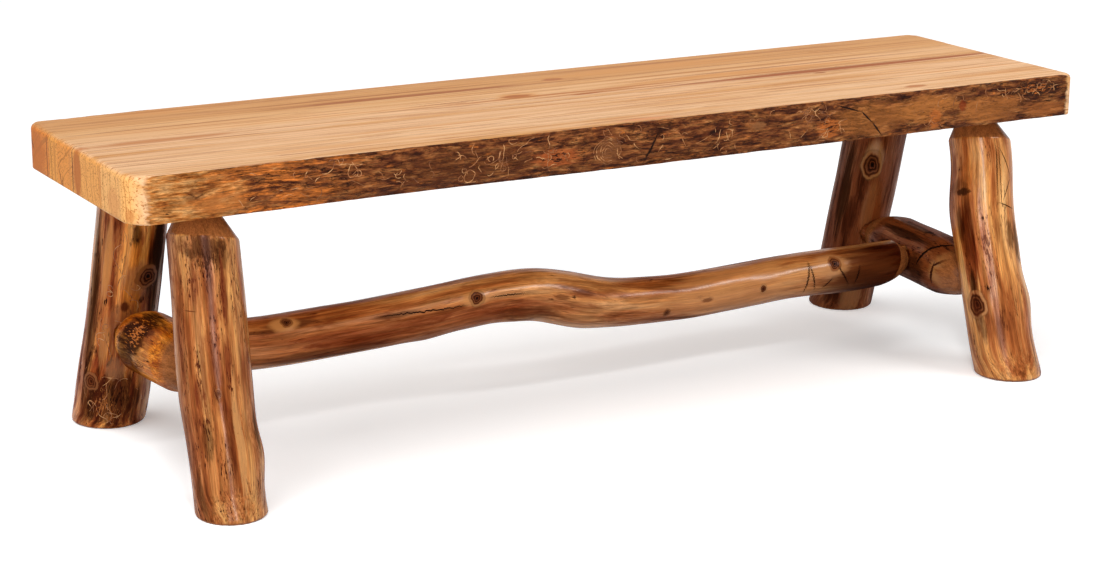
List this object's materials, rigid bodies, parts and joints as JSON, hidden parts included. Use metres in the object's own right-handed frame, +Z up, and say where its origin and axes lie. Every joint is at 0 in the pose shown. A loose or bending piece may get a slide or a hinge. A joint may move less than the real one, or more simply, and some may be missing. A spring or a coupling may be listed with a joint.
{
  "type": "rustic log bench",
  "caption": "Rustic bench with a live-edge plank seat on splayed log legs tenoned into it, joined by log side stretchers and a bent long stretcher.",
  "frame": {"origin": "on the floor, under the middle of the seat", "axes": "+X along the bench to its right end, -Y to the front, +Z up"},
  "size_m": [1.524, 0.56, 0.4572],
  "materials": {
    "seat_wood": "satin clear lacquer over pale planed aspen",
    "log_wood": "satin clear lacquer over peeled golden brown aspen logs"
  },
  "bodies": {
    "root": {"rear_edge_board": "seat_wood", "narrow_board": "seat_wood", "heart_board": "seat_wood", "wide_board": "seat_wood", "front_edge_board": "seat_wood", "front_left_leg": "log_wood", "front_right_leg": "log_wood", "rear_left_leg": "log_wood", "rear_right_leg": "log_wood", "left_side_stretcher": "log_wood", "right_side_stretcher": "log_wood", "long_stretcher": "log_wood"}
  },
  "joints": []
}
